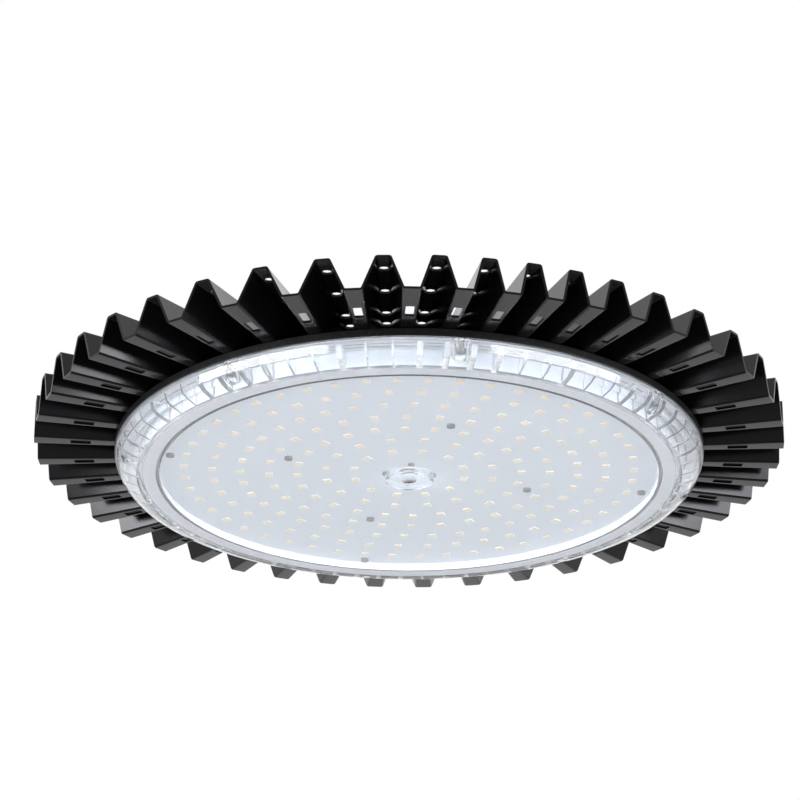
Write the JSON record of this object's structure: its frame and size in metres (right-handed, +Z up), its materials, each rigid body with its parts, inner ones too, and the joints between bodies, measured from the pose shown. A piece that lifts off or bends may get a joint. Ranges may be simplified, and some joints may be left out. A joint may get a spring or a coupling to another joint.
{
  "type": "high bay light",
  "caption": "Round high bay lamp: a pleated sheet heat sink round a flat disc of LEDs behind a clear ribbed lens, with a driver housing, cable gland and eye bolt on top.",
  "frame": {"origin": "bottom centre of the lamp: on its axis, at the lowest point of the lens", "axes": "+Z up along the lamp's axis, from the lens to the eye bolt; the eye's hole runs along X and the cable gland stands towards +Y"},
  "size_m": [0.3821, 0.3823, 0.0901],
  "materials": {
    "heat_sink_black": "glossy black coated sheet aluminium",
    "plate_black": "fine-textured black powder coat",
    "clear_lens": "clear polycarbonate",
    "board_white": "white solder mask",
    "led_phosphor": "pale yellow phosphor in a white package",
    "screw_steel": "plain stainless steel",
    "screw_black": "black zinc",
    "seal_silicone": "translucent white silicone",
    "pad_grey": "grey thermal sheet",
    "housing_black": "fine-textured black powder coat on a die casting",
    "nylon_black": "black nylon",
    "circuit_green": "green circuit board",
    "winding_amber": "taped winding on a ferrite core",
    "choke_dark": "coated ferrite ring",
    "capacitor_sleeve": "dark sleeve",
    "terminal_grey": "grey terminal block",
    "lead_red": "insulated lead",
    "spacer_nylon": "natural nylon",
    "eye_zinc": "zinc-plated steel"
  },
  "bodies": {
    "root": {"base_plate": "plate_black", "board_screws": "screw_steel", "breather_valve": "nylon_black", "centre_screws": "screw_steel", "crown_screws": "screw_black", "driver_board": "circuit_green", "driver_capacitors": "capacitor_sleeve", "driver_choke": "choke_dark", "driver_housing": "housing_black", "driver_pillars": "spacer_nylon", "driver_transformer": "winding_amber", "eye_bolt": "eye_zinc", "eye_nut": "eye_zinc", "eye_washer": "eye_zinc", "gland_body": "nylon_black", "gland_nut": "nylon_black", "gland_seal": "seal_silicone", "housing_gasket": "seal_silicone", "housing_screws": "screw_black", "input_terminal": "terminal_grey", "led_board": "board_white", "led_ring_1": "led_phosphor", "led_ring_2": "led_phosphor", "led_ring_3": "led_phosphor", "led_ring_4": "led_phosphor", "led_ring_5": "led_phosphor", "led_ring_6": "led_phosphor", "led_ring_7": "led_phosphor", "lens_cover": "clear_lens", "lens_gasket": "seal_silicone", "lens_screws": "screw_steel", "output_leads": "lead_red", "output_terminal": "terminal_grey", "pleated_heat_sink": "heat_sink_black", "thermal_pad": "pad_grey"}
  },
  "joints": []
}
